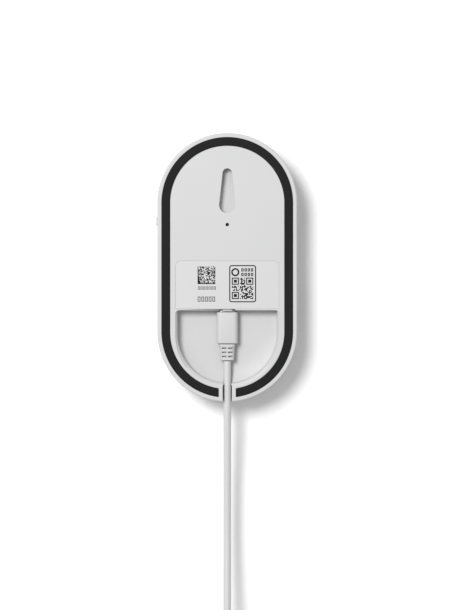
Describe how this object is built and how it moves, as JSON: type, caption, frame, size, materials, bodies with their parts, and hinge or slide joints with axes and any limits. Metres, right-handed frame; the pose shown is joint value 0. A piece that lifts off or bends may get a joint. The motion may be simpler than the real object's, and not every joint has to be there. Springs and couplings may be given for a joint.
{
  "type": "air quality monitor",
  "caption": "Slim pill-shaped indoor air quality monitor lying face down, with a rubber grip ring, keyhole slot, plug recess, side button and a plugged-in supply lead.",
  "frame": {"origin": "the middle of the housing's outline, on the plane of its front face, on which the monitor lies", "axes": "+Z out of the monitor's back, +Y towards its top edge, opposite to the supply lead, and +X across it, to the right as seen from behind"},
  "size_m": [0.0952, 0.303, 0.0213],
  "materials": {
    "white_plastic": "fine satin moulded plastic, light warm grey white",
    "lead_plastic": "soft satin PVC, white",
    "black_rubber": "matt charcoal silicone rubber",
    "label_paper": "satin printed film label, black print",
    "clear_acrylic": "frosted clear acrylic",
    "circuit_board": "green solder mask on glass epoxy",
    "black_plastic": "matt black moulded plastic",
    "grey_plastic": "grey moulded plastic",
    "grey_foam": "dark grey closed-cell foam",
    "dust_mesh": "woven dust mesh",
    "plated_steel": "nickel-plated pressed steel",
    "white_ceramic": "white ceramic package",
    "plug_insulator": "white moulded plastic",
    "tie_fabric": "white woven hook-and-loop tie"
  },
  "bodies": {
    "housing": {"front_cover": "white_plastic", "rear_cover": "white_plastic", "grip_ring": "black_rubber", "label": "label_paper", "light_guide": "clear_acrylic", "main_board": "circuit_board", "wifi_module": "circuit_board", "sensor_board": "circuit_board", "dust_board": "circuit_board", "usb_socket_tongue": "black_plastic", "power_inductor": "black_plastic", "reset_switch": "black_plastic", "button_switch": "black_plastic", "voc_sensor": "black_plastic", "link_header": "black_plastic", "dust_tray": "black_plastic", "fan_base": "black_plastic", "photodiode": "black_plastic", "foam_divider": "grey_foam", "inlet_duct": "grey_foam", "outlet_duct": "grey_foam", "vent_screen_upper_right": "dust_mesh", "vent_screen_lower_right": "dust_mesh", "vent_screen_lower_left": "dust_mesh", "usb_socket_shell": "plated_steel", "wifi_shield": "plated_steel", "co2_sensor": "plated_steel", "dust_lid": "plated_steel", "laser_module": "plated_steel", "power_capacitor": "plated_steel", "case_screw_1": "plated_steel", "case_screw_2": "plated_steel", "case_screw_3": "plated_steel", "case_screw_4": "plated_steel", "board_screw_1": "plated_steel", "board_screw_2": "plated_steel", "board_screw_3": "plated_steel", "board_screw_4": "plated_steel", "sensor_screw_1": "plated_steel", "sensor_screw_2": "plated_steel", "climate_sensor": "white_ceramic", "status_led_1": "white_ceramic", "status_led_2": "white_ceramic", "status_led_3": "white_ceramic"},
    "side_button": {"side_button": "white_plastic"},
    "reset_plunger": {"reset_plunger": "black_plastic"},
    "fan_rotor": {"fan_rotor": "grey_plastic"},
    "supply_lead": {"plug_shell": "plated_steel", "plug_body": "lead_plastic", "plug_strain_relief": "lead_plastic", "supply_lead": "lead_plastic", "lead_coil": "lead_plastic", "coil_tie": "tie_fabric", "lead_tail": "lead_plastic", "charger_relief": "lead_plastic", "charger_plug_body": "lead_plastic", "charger_plug_shell": "plated_steel", "charger_plug_insulator": "plug_insulator"}
  },
  "joints": [
    {"name": "button_press", "type": "slide", "parent": "housing", "child": "side_button", "axis": [1, 0, 0], "range_m": [0, 0.0005], "stiffness_N_per_m": 400, "springref_m": -0.001},
    {"name": "reset_press", "type": "slide", "parent": "housing", "child": "reset_plunger", "axis": [0, 0, -1], "range_m": [0, 0.00025], "stiffness_N_per_m": 400, "springref_m": -0.001},
    {"name": "fan_spin", "type": "hinge", "parent": "housing", "child": "fan_rotor", "pos_m": [-0.0055, 0.03868, 0.008], "axis": [0, 0, 1], "continuous": true},
    {"name": "plug_pull", "type": "slide", "parent": "housing", "child": "supply_lead", "axis": [0, -1, 0], "range_m": [0, 0.0075]}
  ]
}
